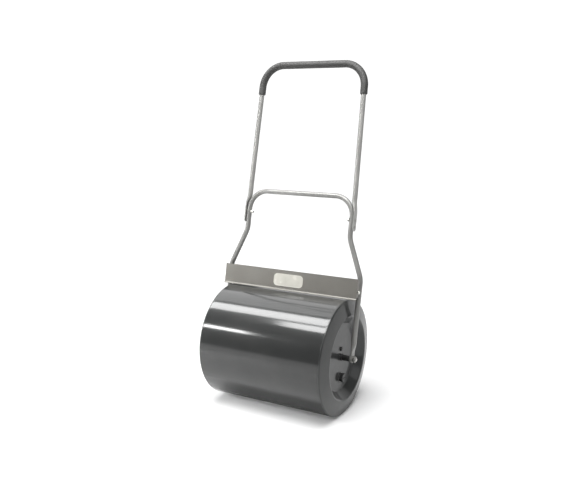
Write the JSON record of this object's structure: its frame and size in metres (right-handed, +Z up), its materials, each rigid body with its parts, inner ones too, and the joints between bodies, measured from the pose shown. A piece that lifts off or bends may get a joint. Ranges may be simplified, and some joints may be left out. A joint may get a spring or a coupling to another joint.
{
  "type": "lawn roller",
  "caption": "Water-ballast lawn roller: a glossy steel drum with dished ends on an axle, a bent tube frame with a scraper plate, and a tall handle with a foam grip.",
  "frame": {"origin": "on the ground, straight below the middle of the axle", "axes": "+Z up, +X along the axle towards the filler end of the drum, +Y to the side the handle leans to"},
  "size_m": [0.502, 0.3869, 1.0917],
  "materials": {
    "drum_paint": "gloss",
    "tube_paint": "satin",
    "plate_paint": "satin",
    "foam": "matte",
    "zinc": "bright zinc",
    "axle_steel": "satin",
    "tank_steel": "gloss",
    "black_nylon": "matte",
    "seal_rubber": "matte",
    "badge_plastic": "gloss"
  },
  "bodies": {
    "frame": {"lower_frame": "tube_paint", "upper_handle": "tube_paint", "foam_grip": "foam", "scraper_plate": "plate_paint", "scraper_lugs": "tube_paint", "scraper_bolts": "zinc", "scraper_nuts": "zinc", "badge": "badge_plastic", "handle_bolts": "zinc", "handle_screws": "zinc", "handle_nuts": "zinc", "handle_washers": "zinc", "axle": "axle_steel", "jam_nuts": "zinc", "axle_washers": "zinc", "axle_nuts": "zinc", "spacer_sleeves": "black_nylon"},
    "drum": {"drum_shell": "drum_paint", "end_cap_left": "drum_paint", "end_cap_right": "drum_paint", "centre_tube": "tank_steel", "bush_left": "black_nylon", "bush_right": "black_nylon", "filler_socket": "tank_steel", "vent_screw": "black_nylon"},
    "seal": {"plug_seal": "seal_rubber"},
    "plug": {"filler_plug": "black_nylon"}
  },
  "joints": [
    {"name": "drum_spin", "type": "hinge", "parent": "frame", "child": "drum", "pos_m": [0, 0, 0.185], "axis": [1, 0, 0], "continuous": true},
    {"name": "plug_travel", "type": "slide", "parent": "drum", "child": "seal", "axis": [1, 0, 0], "range_m": [0, 0.009]},
    {"name": "plug_unscrew", "type": "hinge", "parent": "seal", "child": "plug", "pos_m": [0.205, 0, 0.118], "axis": [1, 0, 0], "range_deg": [0, 1080]}
  ],
  "couplings": [
    {"joint": "plug_travel", "follows": "plug_unscrew", "m_per_rad": 0.000477}
  ]
}
